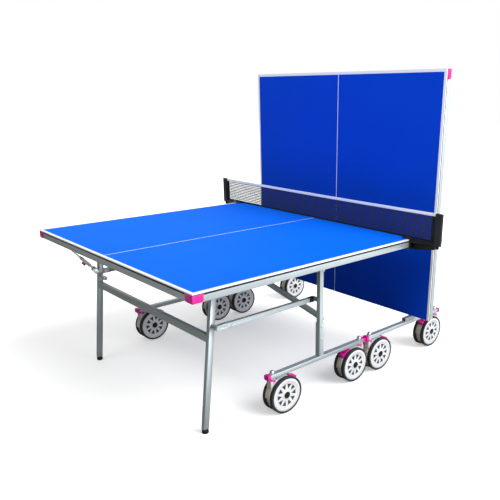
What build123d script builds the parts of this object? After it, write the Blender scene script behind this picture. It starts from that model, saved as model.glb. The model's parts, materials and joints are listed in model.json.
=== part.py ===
from build123d import *
from math import atan2, cos, degrees, hypot, radians, sin, tan
import os

# Rollaway ping pong table in millimetres, +Z up, X along the table, Y across it.
# Two equal folding halves, each on its own trolley with four twin wheeled casters.
# Half "a" is down for play and carries the net; half "b" stands upright as a rebound wall.
#
# Each half is drawn once in its own frame, as it stands in play: U (drawn along X) runs from
# the net end outwards, V (drawn along Y) runs across, and Z is up. It is then put in place.
# The origin of the finished table is the middle of its bounding box, on the floor.

# ---------------------------------------------------------------- playing surface
half_length = 1370.0
table_width = 1525.0
play_height = 760.0
board_thickness = 6.0
board_corner_radius = 4.0

# ---------------------------------------------------------------- steel apron under the board
apron_inset = 2.0                # the apron stands this far inside the board's edge
apron_depth = 34.0
apron_width = 22.0
apron_wall = 2.0
shadow_gap = 2.0                 # spacer strip that leaves a dark line under the board
spacer_width = 14.0
cross_member_width = 28.0
cross_member_wall = 2.0
corner_cap_wall = 2.0
corner_cap_reach = 52.0
corner_cap_radius = 14.0

# ---------------------------------------------------------------- folding linkage
pivot_u = 461.0                  # top pivot, from the net end
pivot_drop = 60.0                # top pivot, below the playing surface
post_u = 565.0                   # the posts stand outboard of the pivot
side_v = 630.0                   # rails, posts and casters, from the middle
link_pivot_z = 512.0
leg_pivot_inset = 323.0          # leg's top pivot, from the table's end
link_v = 587.0
link_height = 23.0
link_thickness = 20.0
link_wall = 2.0
pin_radius = 6.0
pin_clearance = 0.05             # radial running fit
open_pivot_clearance = 0.5       # radial, at the pivot that closes the parallelogram
boss_radius = 11.0
nut_radius = 10.0
nut_thickness = 5.0
side_clearance = 1.0             # between pieces that turn side by side
lug_thickness = 6.0
lug_radius = 13.0
lug_gap = 2.0

# ---------------------------------------------------------------- trolley
tube_corner = 2.5
tube_wall = 2.0
rail_width = 30.0
rail_height = 22.0
rail_underside = 195.0
rail_overhang = 31.0             # rail past its caster bolt
bolt_spacing = 618.0
rail_middle = {"a": 572.0, "b": 339.0}
post_size = 25.0
post_top = 716.0
sleeve_wall = 3.0
sleeve_height = 178.0
brace_height = 32.0
brace_thickness = 10.0
brace_low_z = 416.0
brace_high_z = 668.0
shoe_height = 19.0                # only on half "b", between each post and its rail
shoe_width = 26.0
shoe_wall = 3.0
shoe_start_u = 340.0
shoe_end_u = 583.0
end_cap_wall = 2.0
end_cap_lap = 12.0
end_cap_end = 5.0

# ---------------------------------------------------------------- legs
leg_v = 544.0
leg_depth = 27.0
leg_width = 22.0
leg_foot_inset = 156.0           # leg's line at the floor, from the table's end
leg_head_inset = 242.0           # and at its head
leg_head_z = 702.0
leg_bottom_z = 22.0
leg_plug_height = 26.0
crossbar_z = 450.0
crossbar_height = 38.0
crossbar_depth = 20.0
foot_radius = 16.0
foot_height = 17.0
foot_neck_radius = 9.0
foot_neck_height = 3.0
foot_stem_radius = 5.0
foot_stem_length = 34.0
foot_chamfer = 2.0

# ---------------------------------------------------------------- leg stay
stay_side = -1                   # only one leg of each half has a stay
stay_low_inset = 234.0           # its lower pivot, from the table's end
stay_low_z = 487.0
stay_top_inset = 45.0
stay_top_z = 705.0
stay_radius = 6.0
stay_rod_radius = 4.0
stay_fork_turn = 9.0               # the fork opens this far above the stay's own line
stay_swing = 47.0                  # the stay turns this far to lie along its leg
stay_tube_length = 194.0
stay_pin_radius = 5.0
stay_eye_radius = 11.0
stay_thickness = 12.0
stay_plate = 6.0
saddle_clearance = 0.5
stud_radius = 5.0
catch_start = 116.0
catch_length = 70.0
catch_wall = 3.0
lever_length = 22.0
lever_height = 15.0
lever_width = 8.0

# ---------------------------------------------------------------- twin wheeled caster
wheel_radius = 95.0
wheel_trail = 63.0
wheel_gap = 36.0                 # between the two wheels
wheel_width = 18.0
tyre_depth = 11.0
tyre_chamfer = 3.0
hub_rim = 7.0
hub_web = 5.0
hub_web_recess = 4.0
hub_boss_radius = 14.0
axle_radius = 5.0
axle_clearance = 0.05
spoke_count = 10
spoke_width = 6.0
window_inner = 22.0
window_margin = 5.0
housing_clearance = 2.0          # beside each wheel
fender_outside = 1.0             # fender proud of the tyres
fender_inside = 8.0              # fender inside the tyre, on the leading side
fender_throat = 60.0
swivel_radius = 16.0
swivel_height = 18.5
swivel_clearance = 0.5
stem_radius = 6.0
stem_length = 44.0
dome_radius = 12.0
dome_height = 19.0
dome_crown = 11.0
pedal_angle = 56.0               # middle of the pedal, above the axle on the trailing side
pedal_half_angle = 18.0
pedal_inner = 89.0
pedal_outer = 100.0
pedal_bulb_at = 97.0
pedal_bulb_radius = 9.0
pedal_bulb_turn = 13.0            # the thick toe end, below the pedal's middle
pedal_stem_width = 16.0
pedal_stem_foot = 64.0
pedal_stem_half_angle = 6.0
pedal_pin_at = 72.0
pedal_pin_radius = 3.0
pedal_clearance = 0.5

# ---------------------------------------------------------------- net
net_length = 1830.0
net_height = 152.5
net_u = 4.0
net_thickness = 2.0
net_post_depth = 18.0
net_post_width = 40.0
net_post_corner = 4.0
clamp_arm_height = 14.0
clamp_u = 25.0                   # the clamps sit wholly on their own half
clamp_width = 34.0
clamp_wall = 6.0
clamp_reach = 46.0
clamp_gap = 1.0
screw_radius = 4.0
wing_length = 32.0
wing_height = 10.0
wing_thickness = 7.0

# ---------------------------------------------------------------- where half "b" stands
raised_face_x = 192.0            # its playing face, past the end of half "a"
floor_gap_in_play = 27.0         # left between the halves when "b" has come down

# ---------------------------------------------------------------- worked out
board_underside = play_height - board_thickness
apron_top = board_underside - shadow_gap
apron_bottom = apron_top - apron_depth
apron_v = table_width / 2 - apron_inset
pivot_z = play_height - pivot_drop
link_length = half_length - leg_pivot_inset - pivot_u
leg_foot_u = half_length - leg_foot_inset
leg_head_u = half_length - leg_head_inset
stay_low_u = half_length - stay_low_inset
stay_top_u = half_length - stay_top_inset
leg_pivot_u = pivot_u + link_length
leg_link_u = post_u + link_length
leg_slope = (leg_foot_u - leg_head_u) / leg_head_z
rail_top = rail_underside + rail_height
rail_z = rail_underside + rail_height / 2
brace_u = post_u - post_size / 2 - brace_thickness / 2
stay_v = leg_v - leg_width / 2 - stay_plate - side_clearance - stay_thickness / 2
stay_length = hypot(stay_top_u - stay_low_u, stay_top_z - stay_low_z)
stay_angle = degrees(atan2(stay_top_z - stay_low_z, stay_top_u - stay_low_u))
housing_half = wheel_gap / 2 - housing_clearance
wheel_middle = wheel_gap / 2 + wheel_width / 2
net_post_v = net_length / 2

roll_b = pivot_u - (raised_face_x + pivot_drop)          # how far "b" has rolled to the net
roll_travel = roll_b + floor_gap_in_play
table_back = -half_length
table_front = rail_middle["b"] - roll_b + bolt_spacing / 2 + rail_overhang + end_cap_end
origin_x = (table_back + table_front) / 2


# ================================================================ placing
def raised_shift(u, z):
    """Where a point of the top goes as half "b" turns upright about its pivot."""
    du = u - pivot_u
    dz = z - pivot_z
    return (-dz - du, 0, du - dz)


base = Location((-origin_x, 0, 0))
trolley_a = base * Location((0, 0, 0), (0, 0, 180))
trolley_b = base * Location((-roll_b, 0, 0))
upright = Location((pivot_u, 0, pivot_z)) * Location((0, 0, 0), (0, -90, 0)) * Location((-pivot_u, 0, -pivot_z))
link_up = Location((post_u, 0, link_pivot_z)) * Location((0, 0, 0), (0, -90, 0))
link_up = link_up * Location((-post_u, 0, -link_pivot_z))
leg_raised = Location(raised_shift(leg_pivot_u, pivot_z))
stay_tucked = Location((stay_low_u, 0, stay_low_z)) * Location((0, 0, 0), (0, -stay_swing, 0))
stay_tucked = stay_tucked * Location((-stay_low_u, 0, -stay_low_z))
places = {
    "a": {"trolley": trolley_a, "top": trolley_a, "link": trolley_a, "leg": trolley_a, "stay": trolley_a},
    "b": {
        "trolley": trolley_b,
        "top": trolley_b * upright,
        "link": trolley_b * link_up,
        "leg": trolley_b * leg_raised,
        "stay": trolley_b * leg_raised * stay_tucked,
    },
}
node_names = []


def save(name, solids, place):
    """Write one node: its solids side by side, moved from the half's frame to the table's."""
    moved = [solid.moved(place) for solid in solids]
    node = moved[0] if len(moved) == 1 else Compound(children=moved)
    node.label = name
    export_step(node, f"parts/{name}.step")
    node_names.append(name)


def both_sides(make):
    """Make a piece for each side of the table: +1 and -1 across."""
    return [make(1), make(-1)]


# ================================================================ playing surface
def board():
    with BuildPart() as piece:
        with BuildSketch(Plane.XY.offset(board_underside)):
            with Locations((half_length / 2, 0)):
                RectangleRounded(half_length, table_width, board_corner_radius)
        extrude(amount=board_thickness)
    return piece.part


# ================================================================ apron frame
def apron_channel(length, middle, facing):
    """One side of the apron: a C channel, open inwards, with mitred ends and a spacer strip.

    middle is the middle of its outer face in plan, and facing is the way that face looks.
    """
    side = Plane(origin=(middle[0], middle[1], apron_bottom), x_dir=facing, z_dir=facing.cross(Vector(0, 0, 1)))
    start = side.offset(-length / 2)
    with BuildPart() as piece:
        with BuildSketch(start):
            with Locations((-apron_width / 2, apron_depth / 2)):
                Rectangle(apron_width, apron_depth)
            with Locations((-apron_wall - apron_width / 2, apron_depth / 2)):
                Rectangle(apron_width, apron_depth - 2 * apron_wall, mode=Mode.SUBTRACT)
            with Locations((-apron_width + spacer_width / 2, apron_depth + shadow_gap / 2)):
                Rectangle(spacer_width, shadow_gap)
        extrude(amount=length)
        for end in (-1, 1):
            corner = Vector(middle[0], middle[1], 0) + side.z_dir * (end * length / 2)
            outward = (side.z_dir * end - facing).normalized()
            split(bisect_by=Plane(origin=corner, z_dir=outward * -1), keep=Keep.TOP)
    return piece.part


def cross_member(u):
    """Box tube under the board, from one side channel to the other."""
    length = 2 * (apron_v - apron_width)
    depth = board_underside - apron_bottom - apron_wall
    start = Plane.XZ.offset(-length / 2)
    with BuildPart() as piece:
        with BuildSketch(start):
            with Locations((u, board_underside - depth / 2)):
                Rectangle(cross_member_width, depth)
                Rectangle(
                    cross_member_width - 2 * cross_member_wall,
                    depth - 2 * cross_member_wall,
                    mode=Mode.SUBTRACT,
                )
        extrude(amount=length)
    return piece.part


def pivot_cheek(u, v):
    """Lug that hangs from a cross member, bored for a pivot pin; v is its middle."""
    with BuildPart() as piece:
        with BuildSketch(Plane.XZ.offset(-v - lug_thickness / 2)):
            with Locations((u, pivot_z)):
                Circle(lug_radius)
            with Locations((u, apron_bottom + apron_wall)):
                Rectangle(cross_member_width, 1, align=(Align.CENTER, Align.MAX))
            make_hull()
            with Locations((u, pivot_z)):
                Circle(pin_radius + pin_clearance, mode=Mode.SUBTRACT)
        extrude(amount=lug_thickness)
    return piece.part


def stay_stud():
    """Bracket under the end channel, with the stud that the leg stay's fork bears on."""
    inner_u = half_length - apron_inset - apron_width
    outer_v = stay_side * (stay_v + stay_thickness / 2 + side_clearance + lug_thickness)
    with BuildPart() as piece:
        with BuildSketch(Plane(origin=(0, outer_v, 0), x_dir=(1, 0, 0), z_dir=(0, -1, 0))):
            with Locations((stay_top_u, stay_top_z)):
                Circle(stud_radius + 4)
            with Locations((inner_u + apron_width / 2, apron_bottom)):
                Rectangle(apron_width - 4, 2, align=(Align.CENTER, Align.MAX))
            make_hull()
        extrude(amount=stay_side * lug_thickness)
        with BuildSketch(Plane(origin=(0, outer_v, 0), x_dir=(1, 0, 0), z_dir=(0, -1, 0))):
            with Locations((stay_top_u, stay_top_z)):
                Circle(stud_radius)
        extrude(amount=stay_side * (lug_thickness + side_clearance + stay_thickness))
    return piece.part


def apron_frame():
    middle_u = half_length / 2
    inner_half = half_length - 2 * apron_inset
    solids = [
        apron_channel(inner_half, (middle_u, apron_v), Vector(0, 1, 0)),
        apron_channel(inner_half, (middle_u, -apron_v), Vector(0, -1, 0)),
        apron_channel(2 * apron_v, (half_length - apron_inset, 0), Vector(1, 0, 0)),
        apron_channel(2 * apron_v, (apron_inset, 0), Vector(-1, 0, 0)),
    ]
    for u, head_v in ((pivot_u, post_plate_v()), (leg_pivot_u, leg_plate_v())):
        solids.append(cross_member(u))
        for side in (1, -1):
            for away in (1, -1):
                v = side * (head_v + away * (lug_thickness + lug_gap))
                solids.append(pivot_cheek(u, v))
    solids.append(stay_stud())
    return solids


def corner_cap(side):
    """Thin moulded cap over the apron's outer corner, with rounded free ends."""
    corner_u = half_length
    corner_v = table_width / 2
    with BuildPart() as piece:
        with BuildSketch(Plane.XY.offset(apron_bottom)):
            with Locations((corner_u - corner_cap_reach / 2, side * (corner_v - corner_cap_reach / 2))):
                Rectangle(corner_cap_reach, corner_cap_reach)
            inner = corner_cap_reach - corner_cap_wall
            with Locations((corner_u - corner_cap_wall - inner / 2, side * (corner_v - corner_cap_wall - inner / 2))):
                Rectangle(inner, inner, mode=Mode.SUBTRACT)
        extrude(amount=apron_depth)
        free_u = corner_u - corner_cap_reach
        free_v = side * (corner_v - corner_cap_reach)
        low_end_u = piece.edges().filter_by(Axis.Y).filter_by_position(Axis.X, free_u - 0.1, free_u + 0.1)
        low_end_v = piece.edges().filter_by(Axis.X).filter_by_position(Axis.Y, free_v - 0.1, free_v + 0.1)
        fillet(low_end_u.sort_by(Axis.Z)[0:1] + low_end_v.sort_by(Axis.Z)[0:1], corner_cap_radius)
        fillet(piece.edges().filter_by(Axis.Z).sort_by_distance((corner_u, side * corner_v, apron_bottom))[0:1], 1.5)
    return piece.part


# ================================================================ trolley
def rail(side, middle):
    """Box rail between two casters, drilled for the caster bolts."""
    length = bolt_spacing + 2 * rail_overhang
    with BuildPart() as piece:
        with BuildSketch(Plane(origin=(middle - length / 2, side * side_v, rail_z), x_dir=(0, 1, 0), z_dir=(1, 0, 0))):
            RectangleRounded(rail_width, rail_height, tube_corner)
            Rectangle(rail_width - 2 * tube_wall, rail_height - 2 * tube_wall, mode=Mode.SUBTRACT)
        extrude(amount=length)
        with Locations(Plane(origin=(middle, side * side_v, rail_top))):
            with GridLocations(bolt_spacing, 1, 2, 1):
                Hole(stem_radius + pin_clearance)
    return piece.part


def post(side, foot_z):
    with BuildPart() as piece:
        with BuildSketch(Plane(origin=(post_u, side * side_v, foot_z))):
            RectangleRounded(post_size, post_size, tube_corner)
            Rectangle(post_size - 2 * tube_wall, post_size - 2 * tube_wall, mode=Mode.SUBTRACT)
        extrude(amount=post_top - foot_z)
    return piece.part


def post_sleeve(side, foot_z):
    """Socket around the foot of a post."""
    outer = post_size + 2 * sleeve_wall
    with BuildPart() as piece:
        with BuildSketch(Plane(origin=(post_u, side * side_v, foot_z))):
            RectangleRounded(outer, outer, tube_corner)
            RectangleRounded(post_size, post_size, tube_corner, mode=Mode.SUBTRACT)
        extrude(amount=rail_top + sleeve_height - foot_z)
    return piece.part


def post_plate_v():
    """Middle of the head plate, which lies on the inner face of its post."""
    return side_v - post_size / 2 - lug_thickness / 2


def leg_plate_v():
    return leg_v - leg_width / 2 - lug_thickness / 2


def head_plate(side, plate_v, foot_at, reach, through):
    """Plate from a tube's head to its pivot, carrying the pivot pin.

    foot_at is the middle of its lower end, reach is the pivot's place along U, and through is
    how far the pin runs past the plate on each side.
    """
    with BuildPart() as piece:
        with BuildSketch(Plane.XZ.offset(-side * plate_v - lug_thickness / 2)):
            with Locations((reach, pivot_z)):
                Circle(lug_radius - 1)
            with Locations(foot_at):
                Circle(lug_radius - 2)
            make_hull()
        extrude(amount=lug_thickness)
        with BuildSketch(Plane.XZ.offset(-side * plate_v - lug_thickness / 2 - through)):
            with Locations((reach, pivot_z)):
                Circle(pin_radius)
        extrude(amount=lug_thickness + 2 * through)
    return piece.part


def pivot_pin(side, u, z, face_v, direction):
    """Shouldered pin from a tube's face: a boss, the pin that the link turns on, and a nut."""
    stand = abs(link_v - direction * link_thickness / 2 - face_v) - side_clearance
    run = link_thickness + 2 * side_clearance
    way = side * direction
    start = side * face_v
    with BuildPart() as piece:
        for offset, radius, length in (
            (0, boss_radius, stand),
            (stand, pin_radius, run),
            (stand + run, nut_radius, nut_thickness),
        ):
            with BuildSketch(Plane(origin=(u, start + way * offset, z), z_dir=(0, way, 0))):
                Circle(radius)
            extrude(amount=length)
    return piece.part


def brace_bar(rising):
    """Flat bar between the posts' inner-facing faces, rising to one side."""
    run = 2 * side_v - post_size / 2
    rise = brace_high_z - brace_low_z
    middle_z = (brace_high_z + brace_low_z) / 2
    angle = rising * degrees(atan2(rise, run))
    with BuildPart() as piece:
        with BuildSketch(
            Plane(origin=(brace_u - brace_thickness / 2, 0, middle_z), x_dir=(0, 1, 0), z_dir=(1, 0, 0))
        ):
            with Locations(Location((0, 0, 0), (0, 0, angle))):
                SlotCenterToCenter(hypot(run, rise), brace_height)
        extrude(amount=brace_thickness)
    return piece.part


def cross_brace():
    """Two bars that cross between the posts: one whole, the other in two welded lengths."""
    whole = brace_bar(1)
    with BuildPart() as broken:
        add(brace_bar(-1))
        add(whole, mode=Mode.SUBTRACT)
    return [whole] + list(broken.part.solids())


def shoe(side):
    """Long low channel on a rail, under the post."""
    with BuildPart() as piece:
        with BuildSketch(Plane(origin=(shoe_start_u, side * side_v, rail_top), x_dir=(0, 1, 0), z_dir=(1, 0, 0))):
            with Locations((0, shoe_height / 2)):
                Rectangle(shoe_width, shoe_height)
            with Locations((0, (shoe_height - shoe_wall) / 2)):
                Rectangle(shoe_width - 2 * shoe_wall, shoe_height - shoe_wall, mode=Mode.SUBTRACT)
        extrude(amount=shoe_end_u - shoe_start_u)
    return piece.part


def trolley_frame(half):
    pin_through = lug_gap + lug_thickness + side_clearance
    foot = (post_u, post_top - lug_radius + 2)
    foot_z = rail_top + (shoe_height if half == "b" else 0)
    solids = []
    for side in (1, -1):
        solids.append(rail(side, rail_middle[half]))
        solids.append(post(side, foot_z))
        solids.append(post_sleeve(side, foot_z))
        solids.append(head_plate(side, post_plate_v(), foot, pivot_u, pin_through))
        solids.append(pivot_pin(side, post_u, link_pivot_z, side_v - post_size / 2, -1))
        if half == "b":
            solids.append(shoe(side))
    solids.extend(cross_brace())
    return solids


def rail_end_cap(side, middle, end):
    """Moulded cap over a rail's end."""
    rail_end = middle + end * (bolt_spacing / 2 + rail_overhang)
    outer_w = rail_width + 2 * end_cap_wall
    outer_h = rail_height + 2 * end_cap_wall
    with BuildPart() as piece:
        with BuildSketch(
            Plane(origin=(rail_end - end * end_cap_lap, side * side_v, rail_z), x_dir=(0, 1, 0), z_dir=(end, 0, 0))
        ):
            RectangleRounded(outer_w, outer_h, tube_corner + end_cap_wall)
            RectangleRounded(rail_width, rail_height, tube_corner, mode=Mode.SUBTRACT)
        extrude(amount=end_cap_lap)
        with BuildSketch(Plane(origin=(rail_end, side * side_v, rail_z), x_dir=(0, 1, 0), z_dir=(end, 0, 0))):
            RectangleRounded(outer_w, outer_h, tube_corner + end_cap_wall)
        extrude(amount=end_cap_end)
        chamfer(piece.faces().sort_by(Axis.X)[-1 if end > 0 else 0].outer_wire().edges(), 1.5)
    return piece.part


def caster_bolt():
    """Domed bolt through the rail; its shank is the caster's swivel pin."""
    with BuildPart() as piece:
        with BuildSketch(Plane.XY.offset(rail_underside - stem_length)):
            Circle(stem_radius)
        extrude(amount=stem_length + rail_height)
        with BuildSketch(Plane.XY.offset(rail_top)):
            Circle(dome_radius)
        extrude(amount=dome_height)
        fillet(piece.edges().sort_by(Axis.Z)[-1], dome_crown)
    return piece.part


# ================================================================ legs and links
def leg_axis_plane(side, z):
    """Plane across a leg at height z; the leg leans outwards towards its foot."""
    direction = Vector(-leg_slope, 0, 1).normalized()
    return Plane(origin=(leg_foot_u - leg_slope * z, side * leg_v, z), x_dir=(0, 1, 0), z_dir=direction)


def leg_blank(side, width, depth, low, high):
    """A straight run of the leaning leg between two heights, cut level at both ends."""
    spare = 20
    with BuildPart() as piece:
        with BuildSketch(leg_axis_plane(side, low - spare)):
            Rectangle(width, depth)
        extrude(amount=(high - low + 2 * spare) * hypot(1, leg_slope))
        split(bisect_by=Plane.XY.offset(low), keep=Keep.TOP)
        split(bisect_by=Plane.XY.offset(high), keep=Keep.BOTTOM)
    return piece.part


def leg(side):
    with BuildPart() as piece:
        add(leg_blank(side, leg_width, leg_depth, leg_bottom_z, leg_head_z))
        add(
            leg_blank(side, leg_width - 2 * tube_wall, leg_depth - 2 * tube_wall, leg_bottom_z - 1, leg_head_z + 1),
            mode=Mode.SUBTRACT,
        )
    return piece.part


def foot_u():
    return leg_foot_u - leg_slope * leg_bottom_z


def leg_plug(side):
    """Plug in the leg's lower end, bored for the levelling foot's stem."""
    with BuildPart() as piece:
        add(
            leg_blank(
                side,
                leg_width - 2 * tube_wall,
                leg_depth - 2 * tube_wall,
                leg_bottom_z,
                leg_bottom_z + leg_plug_height,
            )
        )
        with Locations(Plane(origin=(foot_u(), side * leg_v, leg_bottom_z + leg_plug_height))):
            Hole(foot_stem_radius + pin_clearance)
    return piece.part


def crossbar():
    length = 2 * leg_v - leg_width
    u = leg_foot_u - leg_slope * crossbar_z
    with BuildPart() as piece:
        with BuildSketch(Plane.XZ.offset(-length / 2)):
            with Locations((u, crossbar_z)):
                RectangleRounded(crossbar_depth, crossbar_height, tube_corner)
                Rectangle(crossbar_depth - 2 * tube_wall, crossbar_height - 2 * tube_wall, mode=Mode.SUBTRACT)
        extrude(amount=length)
    return piece.part


def stay_pin():
    """Plate on the inner face of the leg, with the pin that the stay turns on."""
    face = stay_side * (leg_v - leg_width / 2)
    leg_at = leg_foot_u - leg_slope * stay_low_z
    with BuildPart() as piece:
        with BuildSketch(Plane(origin=(0, face, 0), x_dir=(1, 0, 0), z_dir=(0, -1, 0))):
            with Locations((stay_low_u, stay_low_z)):
                Circle(stay_eye_radius - 1)
            with Locations((leg_at, stay_low_z)):
                Circle(stay_eye_radius - 1)
            make_hull()
        extrude(amount=stay_side * stay_plate)
        with BuildSketch(Plane(origin=(stay_low_u, face, stay_low_z), z_dir=(0, -stay_side, 0))):
            Circle(stay_pin_radius)
        extrude(amount=stay_plate + side_clearance + stay_thickness + 2)
    return piece.part


def leg_frame():
    pin_through = lug_gap + lug_thickness + side_clearance
    head_z = leg_head_z - lug_radius + 2
    foot = (leg_foot_u - leg_slope * head_z, head_z)
    solids = []
    for side in (1, -1):
        solids.append(leg(side))
        solids.append(leg_plug(side))
        solids.append(head_plate(side, leg_plate_v(), foot, leg_pivot_u, pin_through))
        solids.append(pivot_pin(side, leg_link_u, link_pivot_z, leg_v + leg_width / 2, 1))
    solids.append(crossbar())
    solids.append(stay_pin())
    return solids


def levelling_foot(side):
    with BuildPart() as piece:
        with BuildSketch(Plane(origin=(foot_u(), side * leg_v, 0))):
            Circle(foot_radius)
        extrude(amount=foot_height)
        chamfer(piece.edges().filter_by(GeomType.CIRCLE), foot_chamfer)
        with BuildSketch(Plane(origin=(foot_u(), side * leg_v, foot_height))):
            Circle(foot_neck_radius)
        extrude(amount=foot_neck_height)
        with BuildSketch(Plane(origin=(foot_u(), side * leg_v, foot_height))):
            Circle(foot_stem_radius)
        extrude(amount=foot_stem_length)
    return piece.part


def link_bar(side):
    """Parallelogram link: a channel section, open inwards, with round bored ends."""
    inner_face = side * link_v - side * link_thickness / 2
    with BuildPart() as piece:
        with BuildSketch(Plane(origin=(0, inner_face, 0), x_dir=(1, 0, 0), z_dir=(0, side, 0))) as outline:
            with Locations(((post_u + leg_link_u) / 2, -side * link_pivot_z)):
                SlotCenterToCenter(link_length, link_height)
        extrude(amount=link_thickness)
        with BuildSketch(Plane(origin=(0, inner_face, 0), x_dir=(1, 0, 0), z_dir=(0, side, 0))):
            with Locations(((post_u + leg_link_u) / 2, -side * link_pivot_z)):
                Rectangle(link_length - 3 * link_height, link_height - 2 * link_wall)
        extrude(amount=link_thickness - link_wall, mode=Mode.SUBTRACT)
        for u, clearance in ((post_u, pin_clearance), (leg_link_u, open_pivot_clearance)):
            with BuildSketch(Plane(origin=(0, inner_face, 0), x_dir=(1, 0, 0), z_dir=(0, side, 0))):
                with Locations((u, -side * link_pivot_z)):
                    Circle(pin_radius + clearance)
            extrude(amount=link_thickness, mode=Mode.SUBTRACT)
    return piece.part


# ================================================================ leg stay
# Drawn along +X from its lower pivot at the origin, then turned up to its stud.
def place_stay(piece):
    middle = Location((stay_low_u, stay_side * stay_v, stay_low_z))
    return piece.moved(middle * Location((0, 0, 0), (0, -stay_angle, 0)))


def leg_stay():
    """Strut from the leg to the end apron: an eye, a tube, a thin rod and an open fork."""
    half = stay_thickness / 2
    cup = stud_radius + saddle_clearance
    turn = radians(stay_fork_turn)
    with BuildPart() as piece:
        for start, length, radius in (
            (stay_eye_radius - 3, stay_tube_length - stay_eye_radius + 3, stay_radius - 0.05),
            (stay_tube_length, stay_length - stay_tube_length - cup - 1, stay_rod_radius),
        ):
            with BuildSketch(Plane.YZ.offset(start)):
                Circle(radius)
            extrude(amount=length)
        with BuildSketch(Plane.XZ.offset(-half)):
            Circle(stay_eye_radius)
            Circle(stay_pin_radius + pin_clearance, mode=Mode.SUBTRACT)
        extrude(amount=stay_thickness)
        with BuildSketch(Plane(origin=(stay_length, half, 0), x_dir=(cos(turn), 0, sin(turn)), z_dir=(0, -1, 0))):
            Circle(stay_eye_radius)
            Circle(cup, mode=Mode.SUBTRACT)
            with Locations((stay_eye_radius, 0)):
                Rectangle(2 * stay_eye_radius, 2 * cup, mode=Mode.SUBTRACT)
        extrude(amount=stay_thickness)
    return place_stay(piece.part)


def stay_catch():
    """Sliding sleeve on the stay's tube, with its finger lever below."""
    bore = stay_radius + pin_clearance
    with BuildPart() as piece:
        with BuildSketch(Plane.YZ.offset(catch_start)):
            Circle(bore + catch_wall)
        extrude(amount=catch_length)
        with BuildSketch(Plane.YZ.offset(catch_start + (catch_length - lever_length) / 2)):
            with Locations((0, -(bore + lever_height) / 2)):
                Rectangle(lever_width, bore + lever_height)
        extrude(amount=lever_length)
        with BuildSketch(Plane.YZ.offset(catch_start - 1)):
            Circle(bore)
        extrude(amount=catch_length + 2, mode=Mode.SUBTRACT)
    return place_stay(piece.part)


# ================================================================ casters, in their own frame
# The swivel axis is the Z axis, and the wheels trail towards +X.
def caster_housing():
    """Fender between the wheels, with its swivel head and the wheels' axle."""
    top_z = rail_underside - swivel_clearance
    with BuildPart() as piece:
        with BuildSketch(Plane.XZ.offset(-housing_half)):
            with Locations((wheel_trail, wheel_radius)):
                Circle(wheel_radius + fender_outside)
            with Locations((wheel_trail / 2 - 20, top_z - swivel_height - 10)):
                Rectangle(wheel_trail, 2 * swivel_height)
            with Locations((wheel_trail, wheel_radius)):
                Rectangle(4 * wheel_radius, 2 * wheel_radius, align=(Align.CENTER, Align.MAX), mode=Mode.SUBTRACT)
            with Locations((wheel_trail, wheel_radius)):
                Circle(wheel_radius - fender_inside)
        extrude(amount=2 * housing_half)
        with BuildSketch(Plane.XY.offset(top_z)):
            Rectangle(8 * wheel_radius, 4 * wheel_radius)
        extrude(amount=4 * swivel_height, mode=Mode.SUBTRACT)
        with BuildSketch(Plane.XZ.offset(-housing_half - 1)):
            with Locations((wheel_trail + 0.35 * wheel_radius, 0)):
                Rectangle(3 * wheel_radius, wheel_radius - fender_throat, align=(Align.MIN, Align.MIN))
        extrude(amount=2 * housing_half + 2, mode=Mode.SUBTRACT)
        with BuildSketch(Plane.XY.offset(top_z - swivel_height)):
            Circle(swivel_radius)
        extrude(amount=swivel_height)
        with BuildSketch(Plane(origin=(wheel_trail, -wheel_middle - wheel_width / 2, wheel_radius), z_dir=(0, 1, 0))):
            Circle(axle_radius)
        extrude(amount=2 * wheel_middle + wheel_width)
        add(pedal_sector(housing_half + 1, pedal_inner - 5, 2 * wheel_radius, pedal_half_angle + 3), mode=Mode.SUBTRACT)
        slot_half = pedal_stem_width / 2 + pedal_clearance
        slot_foot = pedal_stem_foot - 3
        add(pedal_sector(slot_half, slot_foot, pedal_inner, pedal_stem_half_angle + 6), mode=Mode.SUBTRACT)
        add(pedal_pin(pedal_pin_radius, slot_half))
        with BuildSketch(Plane.XY.offset(rail_underside - stem_length - side_clearance)):
            Circle(stem_radius + pin_clearance)
        extrude(amount=stem_length + side_clearance, mode=Mode.SUBTRACT)
    return piece.part


def pedal_sector(half_width, inner, outer, half_angle):
    """Ring sector about the axle, on the trailing shoulder of the fender."""
    reach = 3 * wheel_radius
    low = radians(pedal_angle - half_angle)
    high = radians(pedal_angle + half_angle)
    with BuildPart() as piece:
        with BuildSketch(Plane.XZ.offset(-half_width)):
            with Locations((wheel_trail, wheel_radius)):
                Circle(outer)
                Circle(inner, mode=Mode.SUBTRACT)
            with BuildLine():
                Polyline(
                    (wheel_trail, wheel_radius),
                    (wheel_trail + reach * cos(low), wheel_radius + reach * sin(low)),
                    (wheel_trail + reach * cos(high), wheel_radius + reach * sin(high)),
                    close=True,
                )
            make_face(mode=Mode.INTERSECT)
        extrude(amount=2 * half_width)
    return piece.part


def pedal_pin(radius, half_width):
    """Rod across the fender that the brake pedal rocks on."""
    angle = radians(pedal_angle)
    u = wheel_trail + pedal_pin_at * cos(angle)
    z = wheel_radius + pedal_pin_at * sin(angle)
    with BuildPart() as piece:
        with BuildSketch(Plane(origin=(u, -half_width, z), z_dir=(0, 1, 0))):
            Circle(radius)
        extrude(amount=2 * half_width)
    return piece.part


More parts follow.
